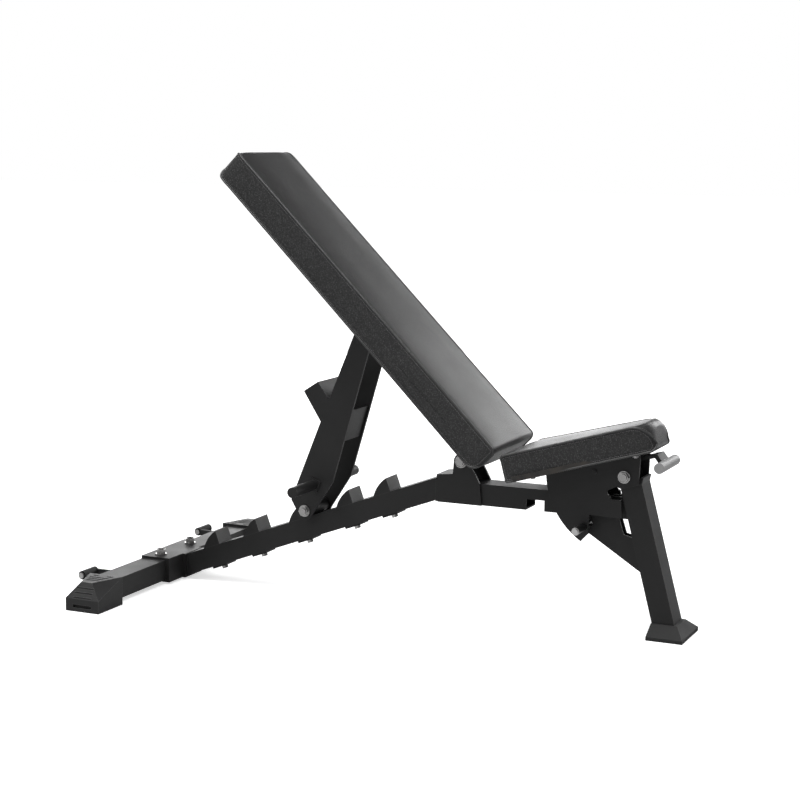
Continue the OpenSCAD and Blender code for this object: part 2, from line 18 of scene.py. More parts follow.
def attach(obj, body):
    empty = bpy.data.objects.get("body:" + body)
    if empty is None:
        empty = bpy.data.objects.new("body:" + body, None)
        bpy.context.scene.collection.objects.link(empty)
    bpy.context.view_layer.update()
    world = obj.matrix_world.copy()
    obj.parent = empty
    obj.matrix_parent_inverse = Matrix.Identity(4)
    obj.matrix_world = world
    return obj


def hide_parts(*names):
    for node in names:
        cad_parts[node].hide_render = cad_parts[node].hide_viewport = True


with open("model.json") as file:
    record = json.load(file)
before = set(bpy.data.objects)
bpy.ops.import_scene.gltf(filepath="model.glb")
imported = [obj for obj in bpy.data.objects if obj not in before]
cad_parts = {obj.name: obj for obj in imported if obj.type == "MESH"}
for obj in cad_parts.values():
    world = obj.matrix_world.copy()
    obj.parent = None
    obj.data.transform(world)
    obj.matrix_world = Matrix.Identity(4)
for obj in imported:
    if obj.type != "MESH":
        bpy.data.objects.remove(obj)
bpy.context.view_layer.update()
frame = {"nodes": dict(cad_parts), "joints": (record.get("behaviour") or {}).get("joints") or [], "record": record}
LOG = logging.getLogger("bench")

MM = 0.001


class Slot(Enum):
    """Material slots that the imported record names."""

    BLACK_STEEL = "black_steel"
    ZINC_STEEL = "zinc_steel"
    CAP_PLASTIC = "cap_plastic"
    RUBBER = "rubber"
    VINYL = "vinyl"
    BOARD = "board"
    GRIP = "grip"


class Body(Enum):
    """Moving bodies that a made piece rides on."""

    BACKREST = "backrest"
    SEAT = "seat"


# ---------- shader groups shared by the finishes ----------


class Nodes:
    """Small helper that adds and joins nodes in one tree."""

    def __init__(self, tree: bpy.types.NodeTree) -> None:
        """Keeps the tree that is being built."""
        self.tree = tree

    def add(self, kind: str, **settings: object) -> bpy.types.Node:
        """Adds a node.

        Args:
            kind: Blender's type name of the node.
            settings: properties to set on it.

        Returns:
            The new node.
        """
        node = self.tree.nodes.new(kind)
        for name, value in settings.items():
            setattr(node, name, value)
        return node

    def join(self, source: bpy.types.NodeSocket, target: bpy.types.NodeSocket) -> None:
        """Links an output to an input."""
        self.tree.links.new(source, target)

    def math(self, operation: str, first: object, second: object = None,
             clamp: bool = False) -> bpy.types.NodeSocket:
        """Adds a Math node fed by sockets or numbers.

        Args:
            operation: the Math node's operation.
            first: socket or number.
            second: socket or number, or None.
            clamp: whether the result is held to 0 to 1.

        Returns:
            The node's output.
        """
        node = self.add("ShaderNodeMath", operation=operation, use_clamp=clamp)
        for place, value in enumerate((first, second)):
            if value is None:
                continue
            if isinstance(value, bpy.types.NodeSocket):
                self.join(value, node.inputs[place])
            else:
                node.inputs[place].default_value = value
        return node.outputs[0]

    def mix_colour(self, mask: bpy.types.NodeSocket, low: object,
                   high: object) -> bpy.types.NodeSocket:
        """Mixes two colours by a mask.

        Args:
            mask: 0 gives low, 1 gives high.
            low: socket or colour.
            high: socket or colour.

        Returns:
            The mixed colour's socket.
        """
        node = self.add("ShaderNodeMix", data_type="RGBA")
        self.join(mask, node.inputs[0])
        for place, value in ((6, low), (7, high)):
            if isinstance(value, bpy.types.NodeSocket):
                self.join(value, node.inputs[place])
            else:
                node.inputs[place].default_value = value
        return node.outputs[2]

    def remap(self, value: bpy.types.NodeSocket, low: float, high: float, to_low: float,
              to_high: float) -> bpy.types.NodeSocket:
        """Maps a value from one range to another, held inside it."""
        node = self.add("ShaderNodeMapRange", clamp=True)
        self.join(value, node.inputs[0])
        for place, number in enumerate((low, high, to_low, to_high), start=1):
            node.inputs[place].default_value = number
        return node.outputs[0]


def new_group(name: str, inputs: Sequence[tuple[str, float]],
              outputs: Sequence[tuple[str, str]]) -> tuple[bpy.types.NodeTree, Nodes,
                                                           bpy.types.Node, bpy.types.Node]:
    """Makes a shader node group with named sockets.

    Args:
        name: the group's name.
        inputs: name and default of each number it takes.
        outputs: name and socket type of each result.

    Returns:
        The tree, a helper for it, and its input and output nodes.
    """
    tree = bpy.data.node_groups.new(name, "ShaderNodeTree")
    for label, value in inputs:
        socket = tree.interface.new_socket(label, in_out="INPUT", socket_type="NodeSocketFloat")
        socket.default_value = value
    for label, kind in outputs:
        tree.interface.new_socket(label, in_out="OUTPUT", socket_type=kind)
    nodes = Nodes(tree)
    return tree, nodes, nodes.add("NodeGroupInput"), nodes.add("NodeGroupOutput")


FLOAT_OUT = "NodeSocketFloat"


class SharedEffects:
    """The node groups that more than one finish uses."""

    def __init__(self) -> None:
        """Builds every group once."""
        self.edge = self._edge_wear_and_highlight()
        self.speckle = self._speckle()
        self.grain = self._hide_grain()

    def _edge_wear_and_highlight(self) -> bpy.types.NodeTree:
        """Builds the mask that is 1 along sharp edges, broken up by noise; the finishes paint edges paler through
        it, partly as edge wear and partly as a painted highlight.
        """
        tree, nodes, given, result = new_group(
            "edge_wear_and_highlight", (("Width", 0.0012), ("Break", 220.0)), (("Mask", FLOAT_OUT),))
        bevel = nodes.add("ShaderNodeBevel", samples=4)
        nodes.join(given.outputs["Width"], bevel.inputs["Radius"])
        face = nodes.add("ShaderNodeNewGeometry")
        dot = nodes.add("ShaderNodeVectorMath", operation="DOT_PRODUCT")
        nodes.join(bevel.outputs[0], dot.inputs[0])
        nodes.join(face.outputs["Normal"], dot.inputs[1])
        turned = nodes.math("SUBTRACT", 1.0, dot.outputs["Value"])
        # Paler colour is painted along this edge mask: partly edge wear, partly a painted highlight on the edges.
        edge = nodes.remap(turned, 0.02, 0.22, 0.0, 1.0)
        place = nodes.add("ShaderNodeTexCoord")
        rough = nodes.add("ShaderNodeTexNoise")
        nodes.join(place.outputs["Object"], rough.inputs["Vector"])
        nodes.join(given.outputs["Break"], rough.inputs["Scale"])
        broken = nodes.remap(rough.outputs["Fac"], 0.3, 0.65, 0.35, 1.0)
        nodes.join(nodes.math("MULTIPLY", edge, broken), result.inputs["Mask"])
        return tree

    def _speckle(self) -> bpy.types.NodeTree:
        """Builds a fine height and a slow patchiness, for powder, plastic and rubber."""
        tree, nodes, given, result = new_group(
            "speckle", (("Fine", 900.0), ("Slow", 9.0)),
            (("Height", FLOAT_OUT), ("Patch", FLOAT_OUT)))
        place = nodes.add("ShaderNodeTexCoord")
        fine = nodes.add("ShaderNodeTexNoise")
        fine.inputs["Detail"].default_value = 3.0
        slow = nodes.add("ShaderNodeTexNoise")
        slow.inputs["Detail"].default_value = 4.0
        for node, label in ((fine, "Fine"), (slow, "Slow")):
            nodes.join(place.outputs["Object"], node.inputs["Vector"])
            nodes.join(given.outputs[label], node.inputs["Scale"])
        nodes.join(fine.outputs["Fac"], result.inputs["Height"])
        nodes.join(slow.outputs["Fac"], result.inputs["Patch"])
        return tree

    def _hide_grain(self) -> bpy.types.NodeTree:
        """Builds pebbled hide grain: rounded cells parted by creases."""
        tree, nodes, given, result = new_group(
            "hide_grain", (("Cells", 520.0), ("Wander", 0.0015)),
            (("Height", FLOAT_OUT), ("Pebble", FLOAT_OUT)))
        place = nodes.add("ShaderNodeTexCoord")
        drift = nodes.add("ShaderNodeTexNoise")
        drift.inputs["Scale"].default_value = 160.0
        nodes.join(place.outputs["Object"], drift.inputs["Vector"])
        scaled = nodes.add("ShaderNodeVectorMath", operation="SCALE")
        nodes.join(drift.outputs["Color"], scaled.inputs[0])
        nodes.join(given.outputs["Wander"], scaled.inputs["Scale"])
        moved = nodes.add("ShaderNodeVectorMath", operation="ADD")
        nodes.join(place.outputs["Object"], moved.inputs[0])
        nodes.join(scaled.outputs[0], moved.inputs[1])
        crease = nodes.add("ShaderNodeTexVoronoi", feature="DISTANCE_TO_EDGE")
        pebble = nodes.add("ShaderNodeTexVoronoi", feature="F1")
        for node in (crease, pebble):
            nodes.join(moved.outputs[0], node.inputs["Vector"])
            nodes.join(given.outputs["Cells"], node.inputs["Scale"])
        nodes.join(nodes.remap(crease.outputs["Distance"], 0.0, 0.16, 0.0, 1.0),
                   result.inputs["Height"])
        nodes.join(pebble.outputs["Distance"], result.inputs["Pebble"])
        return tree


# ---------- finishes ----------

Colour = tuple[float, float, float, float]


def grey(value: float, warm: float = 0.0) -> Colour:
    """A near-neutral colour; warm shifts it a little towards brown."""
    return (value + warm, value, value - warm, 1.0)


def blank_material(name: str) -> tuple[bpy.types.Material, Nodes, bpy.types.Node]:
    """Makes a material with one Principled shader.

    Args:
        name: the material's name.

    Returns:
        The material, a helper for its tree and the shader.
    """
    material = bpy.data.materials.new(name)
    material.use_nodes = True
    material.node_tree.nodes.clear()
    nodes = Nodes(material.node_tree)
    shader = nodes.add("ShaderNodeBsdfPrincipled")
    output = nodes.add("ShaderNodeOutputMaterial")
    nodes.join(shader.outputs[0], output.inputs[0])
    return material, nodes, shader


def use_group(nodes: Nodes, tree: bpy.types.NodeTree, **values: float) -> bpy.types.Node:
    """Places a shared group in a material with this material's own values."""
    node = nodes.add("ShaderNodeGroup", node_tree=tree)
    for name, value in values.items():
        node.inputs[name].default_value = value
    return node


def add_bump(nodes: Nodes, shader: bpy.types.Node, height: bpy.types.NodeSocket,
             strength: float, distance: float) -> None:
    """Feeds a height to the shader's normal through a Bump node."""
    bump = nodes.add("ShaderNodeBump")
    bump.inputs["Strength"].default_value = strength
    bump.inputs["Distance"].default_value = distance
    nodes.join(height, bump.inputs["Height"])
    nodes.join(bump.outputs[0], shader.inputs["Normal"])


@dataclass(frozen=True)
class CoatedFinish:
    """A matt or satin finish with fine texture, patchiness and pale edges, the edges partly edge wear and partly a
    painted highlight.
    """

    name: str
    base: Colour
    # colour of the pale edges: edge wear and a painted highlight along them
    edge: Colour
    rough_low: float
    rough_high: float
    fine: float
    relief: float
    edge_width: float = 0.0012
    metallic: float = 0.0
    specular: float = 0.5

    def make(self, shared: SharedEffects) -> bpy.types.Material:
        """Builds the material from the shared groups."""
        material, nodes, shader = blank_material(self.name)
        wear_and_highlight = use_group(nodes, shared.edge, Width=self.edge_width)
        texture = use_group(nodes, shared.speckle, Fine=self.fine)
        lighter = tuple(min(1.0, c * 1.45) for c in self.base[:3]) + (1.0,)
        patch = nodes.remap(texture.outputs["Patch"], 0.35, 0.7, 0.0, 1.0)
        body = nodes.mix_colour(patch, self.base, lighter)
        # Edges are painted paler here: partly edge wear, partly a painted highlight.
        colour = nodes.mix_colour(wear_and_highlight.outputs["Mask"], body, self.edge)
        nodes.join(colour, shader.inputs["Base Color"])
        nodes.join(nodes.remap(texture.outputs["Patch"], 0.3, 0.7, self.rough_low,
                               self.rough_high), shader.inputs["Roughness"])
        shader.inputs["Metallic"].default_value = self.metallic
        shader.inputs["Specular IOR Level"].default_value = self.specular
        add_bump(nodes, shader, texture.outputs["Height"], self.relief, 0.0004)
        return material


@dataclass(frozen=True)
class PlyFinish:
    """Black stained plywood with faint plies and long grain."""

    name: str = "stained_ply"
    dark: Colour = grey(0.010)
    light: Colour = grey(0.034, 0.005)

    def make(self, shared: SharedEffects) -> bpy.types.Material:
        """Builds the material from stretched noise and the shared edge mask."""
        material, nodes, shader = blank_material(self.name)
        place = nodes.add("ShaderNodeTexCoord")
        stretch = nodes.add("ShaderNodeMapping")
        stretch.inputs["Scale"].default_value = (18.0, 260.0, 18.0)
        nodes.join(place.outputs["Object"], stretch.inputs["Vector"])
        grain = nodes.add("ShaderNodeTexNoise")
        grain.inputs["Scale"].default_value = 1.0
        grain.inputs["Detail"].default_value = 6.0
        nodes.join(stretch.outputs[0], grain.inputs["Vector"])
        wear_and_highlight = use_group(nodes, shared.edge, Width=0.0010)
        streak = nodes.remap(grain.outputs["Fac"], 0.35, 0.68, 0.0, 1.0)
        body = nodes.mix_colour(streak, self.dark, self.light)
        # Board edges painted paler: partly edge wear, partly a painted highlight.
        colour = nodes.mix_colour(wear_and_highlight.outputs["Mask"], body, grey(0.05, 0.01))
        nodes.join(colour, shader.inputs["Base Color"])
        nodes.join(nodes.remap(streak, 0.0, 1.0, 0.5, 0.72), shader.inputs["Roughness"])
        add_bump(nodes, shader, grain.outputs["Fac"], 0.25, 0.0005)
        return material


@dataclass(frozen=True)
class VinylFinish:
    """Black vinyl: fine grain on the wrap, coarse pebbled grain on the side panels, whose pebble crowns carry a
    painted highlight.
    """

    name: str = "black_vinyl"
    wrap: Colour = grey(0.013)
    side: Colour = grey(0.010)
    # Painted highlight colour laid on the pebble crowns of the side panels.
    high: Colour = grey(0.085)
    side_relief: float = 2.4
    mask_name: str = "side_panel"

    def make(self, shared: SharedEffects) -> bpy.types.Material:
        """Builds the material, choosing between the two grains by the panel attribute."""
        material, nodes, shader = blank_material(self.name)
        panel = nodes.add("ShaderNodeAttribute", attribute_name=self.mask_name)
        mask = nodes.remap(panel.outputs["Fac"], 0.45, 0.55, 0.0, 1.0)
        fine = use_group(nodes, shared.grain, Cells=760.0, Wander=0.0010)
        coarse = use_group(nodes, shared.grain, Cells=330.0, Wander=0.0022)
        slow = use_group(nodes, shared.speckle, Fine=60.0, Slow=7.0)
        fine_height = nodes.math("MULTIPLY", fine.outputs["Height"], 0.28)
        tall = nodes.math("MULTIPLY", coarse.outputs["Height"], self.side_relief)
        gap = nodes.math("SUBTRACT", tall, fine_height)
        height = nodes.math("ADD", fine_height, nodes.math("MULTIPLY", gap, mask))
        patch = nodes.remap(slow.outputs["Patch"], 0.3, 0.7, 0.0, 1.0)
        # Painted highlight: the crowns of the coarse pebbles on the side panels are lightened towards the
        # highlight colour.
        crown = nodes.remap(coarse.outputs["Pebble"], 0.10, 0.42, 1.0, 0.0)
        painted_pebble_glint = nodes.math("MULTIPLY", nodes.math("MULTIPLY", crown, mask), 0.8)
        body = nodes.mix_colour(mask, self.wrap, self.side)
        nodes.join(nodes.mix_colour(painted_pebble_glint, body, self.high), shader.inputs["Base Color"])
        smooth = nodes.remap(patch, 0.0, 1.0, 0.36, 0.46)
        pebbled = nodes.remap(coarse.outputs["Pebble"], 0.1, 0.6, 0.30, 0.55)
        gap_rough = nodes.math("SUBTRACT", pebbled, smooth)
        nodes.join(nodes.math("ADD", smooth, nodes.math("MULTIPLY", gap_rough, mask)),
                   shader.inputs["Roughness"])
        add_bump(nodes, shader, height, 0.55, 0.0006)
        return material


@dataclass(frozen=True)
class ThreadFinish:
    """Twisted dark sewing thread."""

    name: str = "sewing_thread"
    base: Colour = grey(0.10)

    def make(self, shared: SharedEffects) -> bpy.types.Material:
        """Builds the material with a fine twist."""
        material, nodes, shader = blank_material(self.name)
        twist = use_group(nodes, shared.speckle, Fine=2600.0, Slow=40.0)
        tint = nodes.mix_colour(twist.outputs["Height"], self.base, grey(0.24))
        nodes.join(tint, shader.inputs["Base Color"])
        nodes.join(nodes.remap(twist.outputs["Patch"], 0.3, 0.7, 0.55, 0.7),
                   shader.inputs["Roughness"])
        add_bump(nodes, shader, twist.outputs["Height"], 0.4, 0.0002)
        return material


@dataclass(frozen=True)
class LatchFinish:
    """A black sleeved rod with bright zinc bolt heads on its two ends."""

    name: str = "latch_rod_finish"
    ends_from: float = 0.0915
    base: Colour = grey(0.012)
    bright: Colour = grey(0.60, 0.004)

    def make(self, shared: SharedEffects) -> bpy.types.Material:
        """Builds the material, bright beyond a distance from the middle."""
        material, nodes, shader = blank_material(self.name)
        place = nodes.add("ShaderNodeTexCoord")
        split = nodes.add("ShaderNodeSeparateXYZ")
        nodes.join(place.outputs["Object"], split.inputs[0])
        reach = nodes.math("ABSOLUTE", split.outputs["Y"])
        ends = nodes.remap(reach, self.ends_from - 0.1 * MM, self.ends_from + 0.1 * MM,
                           0.0, 1.0)
        texture = use_group(nodes, shared.speckle, Fine=900.0)
        wear_and_highlight = use_group(nodes, shared.edge, Width=0.0008)
        body = nodes.mix_colour(ends, self.base, self.bright)
        # Edges painted paler towards grey 0.5: partly edge wear, partly a painted highlight.
        lighter = nodes.math("MULTIPLY", wear_and_highlight.outputs["Mask"], 0.5)
        nodes.join(nodes.mix_colour(lighter, body, grey(0.5)), shader.inputs["Base Color"])
        nodes.join(ends, shader.inputs["Metallic"])
        nodes.join(nodes.remap(texture.outputs["Patch"], 0.3, 0.7, 0.26, 0.40),
                   shader.inputs["Roughness"])
        add_bump(nodes, shader, texture.outputs["Height"], 0.15, 0.0003)
        return material


class Finishes:
    """Every finish of the bench, made once."""

    def __init__(self) -> None:
        """Builds the shared groups, then each material."""
        shared = SharedEffects()
        # Each coated finish's second colour paints its edges paler: partly edge wear, partly a painted highlight,
        # brightest on the zinc.
        coat = CoatedFinish("powder_coat", grey(0.011), grey(0.055), 0.44, 0.56, 950.0, 0.22,
                            specular=0.34)
        zinc = CoatedFinish("zinc_plate", grey(0.34, 0.004), grey(0.80), 0.20, 0.34, 700.0,
                            0.12, 0.0008, metallic=1.0)
        plastic = CoatedFinish("moulded_cap", grey(0.016), grey(0.13), 0.42, 0.58, 1400.0,
                               0.35, 0.0016, specular=0.35)
        rubber = CoatedFinish("foot_rubber", grey(0.018), grey(0.060), 0.55, 0.75, 600.0,
                              0.30, 0.0014, specular=0.3)
        grip = CoatedFinish("grip_sleeve", grey(0.22), grey(0.32), 0.40, 0.52, 900.0, 0.25,
                            0.0010)
        self.vinyl = VinylFinish().make(shared)
        # The welt is painted lighter than the pad's vinyl: a painted highlight for the bright band along the seam
        # edge.
        self.welt = CoatedFinish("welt_vinyl_painted_highlight", grey(0.035), grey(0.07), 0.20, 0.30, 1500.0,
                                 0.10).make(shared)
        self.thread = ThreadFinish().make(shared)
        self.by_node = {"latch_rod": LatchFinish().make(shared)}
        self.steel = zinc.make(shared)
        self.by_slot: dict[Slot, bpy.types.Material] = {
            Slot.BLACK_STEEL: coat.make(shared),
            Slot.ZINC_STEEL: self.steel,
            Slot.CAP_PLASTIC: plastic.make(shared),
            Slot.RUBBER: rubber.make(shared),
            Slot.VINYL: self.vinyl,
            Slot.BOARD: PlyFinish().make(shared),
            Slot.GRIP: grip.make(shared),
        }

    def dress_frame(self) -> None:
        """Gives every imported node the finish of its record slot."""
        for part in frame["record"]["subparts"]:
            slot = Slot(part["material_slot"])
            mesh = frame["nodes"][part["node"]].data
            mesh.materials.clear()
            mesh.materials.append(self.by_node.get(part["node"], self.by_slot[slot]))
            LOG.info("dressed %s in %s", part["node"], slot.value)


# ---------- mesh helpers ----------


def link_mesh(name: str, mesh: bpy.types.Mesh) -> bpy.types.Object:
    """Puts a mesh in the scene as an object at the origin."""
    piece = bpy.data.objects.new(name, mesh)
    bpy.context.scene.collection.objects.link(piece)
    return piece


def applied(piece: bpy.types.Object) -> bpy.types.Mesh:
    """Returns a plain mesh of a piece with its modifiers applied."""
    graph = bpy.context.evaluated_depsgraph_get()
    graph.update()
    return bpy.data.meshes.new_from_object(piece.evaluated_get(graph))


def settle(piece: bpy.types.Object) -> None:
    """Swaps a piece's mesh for its evaluated one and removes the modifiers."""
    mesh = applied(piece)
    old = piece.data
    piece.modifiers.clear()
    piece.data = mesh
    bpy.data.meshes.remove(old)


def smooth(mesh: bpy.types.Mesh) -> None:
    """Shades every face of a mesh smooth."""
    mesh.polygons.foreach_set("use_smooth", [True] * len(mesh.polygons))
    mesh.update()


def sweep_tube(name: str, path: Sequence[Vector], radius: float,
               sides: int = 8) -> bpy.types.Object:
    """Sweeps a round bead along a closed path.

    Args:
        name: the piece's name.
        path: points of the closed path.
        radius: the bead's radius.
        sides: corners of its section.

    Returns:
        The bead as a mesh object.
    """
    work = bmesh.new()
    rings = []
    count = len(path)
    for place, point in enumerate(path):
        ahead = (path[(place + 1) % count] - path[place - 1]).normalized()
        across = Vector((0.0, 1.0, 0.0))
        across = (across - ahead * across.dot(ahead)).normalized()
        up = ahead.cross(across)
        rings.append([work.verts.new(point + radius * (math.cos(t) * across + math.sin(t) * up))
                      for t in (2 * math.pi * k / sides for k in range(sides))])
    for place in range(count):
        here, there = rings[place], rings[(place + 1) % count]
        for k in range(sides):
            m = (k + 1) % sides
            work.faces.new((here[k], here[m], there[m], there[k]))
    bmesh.ops.recalc_face_normals(work, faces=work.faces)
    mesh = bpy.data.meshes.new(name)
    work.to_mesh(mesh)
    work.free()
    smooth(mesh)
    return link_mesh(name, mesh)


# ---------- stitches by Geometry Nodes ----------


@dataclass(frozen=True)
class StitchRow:
    """A tree that lays short rounded stitches along edges, end to end with gaps."""

    pitch: float = 4.6 * MM
    length: float = 3.1 * MM
    radius: float = 0.55 * MM
    corners: int = 6

    def tree(self, material: bpy.types.Material) -> bpy.types.NodeTree:
        """Builds the Geometry Nodes tree with named sizes.

        Args:
            material: what the stitches are made of.

        Returns:
            The tree.
        """
        tree = bpy.data.node_groups.new("stitch_row", "GeometryNodeTree")
        face = tree.interface
        face.new_socket("Geometry", in_out="INPUT", socket_type="NodeSocketGeometry")
        for label in ("Pitch", "Length", "Radius"):
            face.new_socket(label, in_out="INPUT", socket_type="NodeSocketFloat")
        face.new_socket("Geometry", in_out="OUTPUT", socket_type="NodeSocketGeometry")
        nodes = Nodes(tree)
        given, result = nodes.add("NodeGroupInput"), nodes.add("NodeGroupOutput")
        curve = nodes.add("GeometryNodeMeshToCurve")
        spaced = nodes.add("GeometryNodeResampleCurve", mode="LENGTH")
        points = nodes.add("GeometryNodeCurveToPoints", mode="EVALUATED")
        stitch = nodes.add("GeometryNodeMeshCylinder")
        stitch.inputs["Vertices"].default_value = self.corners
        placed = nodes.add("GeometryNodeInstanceOnPoints")
        real = nodes.add("GeometryNodeRealizeInstances")
        finish = nodes.add("GeometryNodeSetMaterial")
        finish.inputs["Material"].default_value = material
        nodes.join(given.outputs["Geometry"], curve.inputs["Mesh"])
        nodes.join(curve.outputs["Curve"], spaced.inputs["Curve"])
        nodes.join(given.outputs["Pitch"], spaced.inputs["Length"])
        nodes.join(spaced.outputs["Curve"], points.inputs["Curve"])
        nodes.join(points.outputs["Points"], placed.inputs["Points"])
        nodes.join(points.outputs["Rotation"], placed.inputs["Rotation"])
        nodes.join(given.outputs["Radius"], stitch.inputs["Radius"])
        nodes.join(given.outputs["Length"], stitch.inputs["Depth"])
        nodes.join(stitch.outputs["Mesh"], placed.inputs["Instance"])
        nodes.join(placed.outputs["Instances"], real.inputs["Geometry"])
        nodes.join(real.outputs["Geometry"], finish.inputs["Geometry"])
        nodes.join(finish.outputs["Geometry"], result.inputs["Geometry"])
        return tree

    def sew(self, name: str, paths: Iterable[Sequence[Vector]],
            material: bpy.types.Material) -> bpy.types.Object:
        """Sews stitches along closed paths.

        Args:
            name: the piece's name.
            paths: closed paths to sew along.
            material: the thread.

        Returns:
            The stitches as one plain mesh object.
        """
        corners: list[Vector] = []
        edges: list[tuple[int, int]] = []
        for path in paths:
            start = len(corners)
            corners.extend(path)
            edges.extend((start + k, start + (k + 1) % len(path)) for k in range(len(path)))
        mesh = bpy.data.meshes.new(name)
        mesh.from_pydata(corners, edges, [])
        piece = link_mesh(name, mesh)
        row = piece.modifiers.new("stitches", "NODES")
        tree = self.tree(material)
        row.node_group = tree
        sizes = {"Pitch": self.pitch, "Length": self.length, "Radius": self.radius}
        for item in tree.interface.items_tree:
            if item.in_out == "INPUT" and item.name in sizes:
                row[item.identifier] = sizes[item.name]
        settle(piece)
        return piece


# ---------- upholstery ----------


@dataclass
class SidePanel:
    """Rounding of a pad's outline seen from the side, from the rear bottom corner round."""

    rear_low: float
    front_low: float
    front_high: float
    rear_high: float


@dataclass
class UpholsteredPad:
    """A vinyl pad: a wrap over the face and ends, sewn to a panel on each side."""

    name: str
    node: str
    board: str
    body: Body
    joint: str
    slope: float
    panel: SidePanel
    fill: float
    narrow: float = 0.0
    nose: float = 12.0 * MM
    tail: float = 12.0 * MM
    cell: float = 6.0 * MM
    board_show: float = 1.5 * MM
    seam_in: float = 3.0 * MM
    waist: float = 1.8 * MM
    crown: float = 6.0 * MM
    seam_drop: float = 2.0 * MM
    proud: float = 4.0 * MM
    mid_round: float = 17.0 * MM
    top_puff: float = 7.0 * MM
    side_puff: float = 3.0 * MM
    pressure: float = 4.0
    welt: float = 2.5 * MM
    row_gap: float = 5.5 * MM
    row_depth: float = 0.7 * MM
    row_width: float = 2.2 * MM
    panel_edge: float = 1.2 * MM
    rim_strip: float = 0.03
    panel_rings: int = 6
    panel_reach: float = 0.82
    held_under: float = 0.5 * MM
    held_edge: float = 0.1 * MM
    frames: int = 20
    puff_kept: float = 0.25
    crown_kept: float = 0.85
    ripple: float = 0.25 * MM
    seam: list[Vector] = field(default_factory=list)
    low: Vector = field(default_factory=Vector)
    high: Vector = field(default_factory=Vector)

    def __post_init__(self) -> None:
        """Finds the pad's own frame and its box there, down over the board's edge."""
        pivot = next(j for j in frame["joints"] if j["name"] == self.joint)["pos_m"]
        self.to_world = Matrix.Translation(pivot) @ Matrix.Rotation(
            math.radians(self.slope), 4, "Y")
        back = self.to_world.inverted()
        corners = [back @ v.co for v in frame["nodes"][self.node].data.vertices]
        under = min((back @ v.co).z for v in frame["nodes"][self.board].data.vertices)
        self.low = Vector([min(c[k] for c in corners) for k in range(3)])
        self.high = Vector([max(c[k] for c in corners) for k in range(3)])
        self.low.z = under + self.board_show

    def bends(self, inset: float, share: float) -> list[Vector]:
        """Corners of the outline, each as a short arc.

        Args:
            inset: how far inside the seam's own outline it runs.
            share: 1 at the seams and 0 down the middle, where the foam is squarer.

        Returns:
            Points round the four corners.
        """
        x0, x1 = self.low.x + inset, self.high.x - inset
        z0, z1 = self.low.z + inset, self.high.z - self.seam_drop - inset
        panel = self.panel
        spots = ((x0, z0, 1, 1, panel.rear_low, 180), (x1, z0, -1, 1, panel.front_low, 270),
                 (x1, z1, -1, -1, panel.front_high, 0), (x0, z1, 1, -1, panel.rear_high, 90))
        turns = 8
        points: list[Vector] = []
        for x, z, sx, sz, at_seam, first in spots:
            middle = min(at_seam, self.mid_round)
            radius = middle + (at_seam - middle) * share ** 4
            radius = max(1 * MM, radius - inset)
            for k in range(turns + 1):
                angle = math.radians(first + 90 * k / turns)
                points.append(Vector((x + sx * radius + radius * math.cos(angle), 0.0,
                                      z + sz * radius + radius * math.sin(angle))))
        return points

    def outline(self, inset: float = 0.0, share: float = 1.0) -> list[Vector]:
        """Side outline of the pad in its own frame, the same count of points each time.

        Args:
            inset: how far inside the seam's own outline it runs.
            share: 1 at the seams and 0 down the middle of the wrap.

        Returns:
            Points round the outline, in the plane y = 0.
        """
        base = self.bends(0.0, 1.0)
        shape = self.bends(inset, share)
        points: list[Vector] = []
        for k, point in enumerate(shape):
            after = shape[(k + 1) % len(shape)]
            length = (base[(k + 1) % len(base)] - base[k]).length
            parts = max(1, round(length / self.cell))
            points.extend(point.lerp(after, n / parts) for n in range(parts))
        return points

    def half_at(self, x: float) -> float:
        """Half width of the seam at x: tapered, drawn in between its rounded corners."""
        middle, reach = (self.low.x + self.high.x) / 2, (self.high.x - self.low.x) / 2
        along = min(max((x - self.low.x) / (2 * reach), 0.0), 1.0)
        share = 1 - ((x - middle) / reach) ** 4
        half = self.high.y - self.seam_in - self.waist * max(0.0, share) - self.narrow * along
        for gap, turn in ((self.high.x - x, self.nose), (x - self.low.x, self.tail)):
            if gap < turn:
                short = turn - max(0.0, gap)
                half -= turn - math.sqrt(turn ** 2 - short ** 2)
        return half

    def spine_point(self, point: Vector) -> Vector:
        """Nearest point of the line down the middle of a side panel."""
        reach = (self.high.z - self.low.z) / 2
        x = min(max(point.x, self.low.x + reach), self.high.x - reach)
        return Vector((x, 0.0, (self.low.z + self.high.z) / 2))

    def panels(self) -> bpy.types.Object:
        """Cuts the wrap and both side panels as one closed sewn shell."""
        work = bmesh.new()
        rim = self.outline()
        count = len(rim)
        width = 2 * self.half_at((self.low.x + self.high.x) / 2)
        across = max(8, round(width / self.cell))
        shares = [-1.0, -1 + self.rim_strip] + [
            -1 + 2 * k / across for k in range(1, across)] + [1 - self.rim_strip, 1.0]
        rings = [[work.verts.new((p.x, s * self.half_at(p.x), p.z))
                  for p in self.outline(share=abs(s))] for s in shares]
        for first, second in zip(rings, rings[1:]):
            for k in range(count):
                m = (k + 1) % count
                work.faces.new((first[k], first[m], second[m], second[k]))
        for ring, side in ((rings[0], -1), (rings[-1], 1)):
            before = ring
            for step in range(1, self.panel_rings + 1):
                share = self.panel_reach * step / self.panel_rings
                inner = []
                for p in rim:
                    spot = p.lerp(self.spine_point(p), share)
                    inner.append(work.verts.new((spot.x, side * self.half_at(spot.x), spot.z)))
                for k in range(count):
                    m = (k + 1) % count
                    work.faces.new((before[k], before[m], inner[m], inner[k]))
                before = inner
            last = [work.edges.get((before[k], before[(k + 1) % count]))
                    for k in range(count)]
            bmesh.ops.triangle_fill(work, use_beauty=True, edges=last)
        open_edges = [e for e in work.edges if len(e.link_faces) != 2]
        if open_edges:
            raise ValueError(f"{self.name}: {len(open_edges)} edges are not closed")
        bmesh.ops.recalc_face_normals(work, faces=work.faces)
        mesh = bpy.data.meshes.new(self.name)
        work.to_mesh(mesh)
        work.free()
        return link_mesh(self.name, mesh)

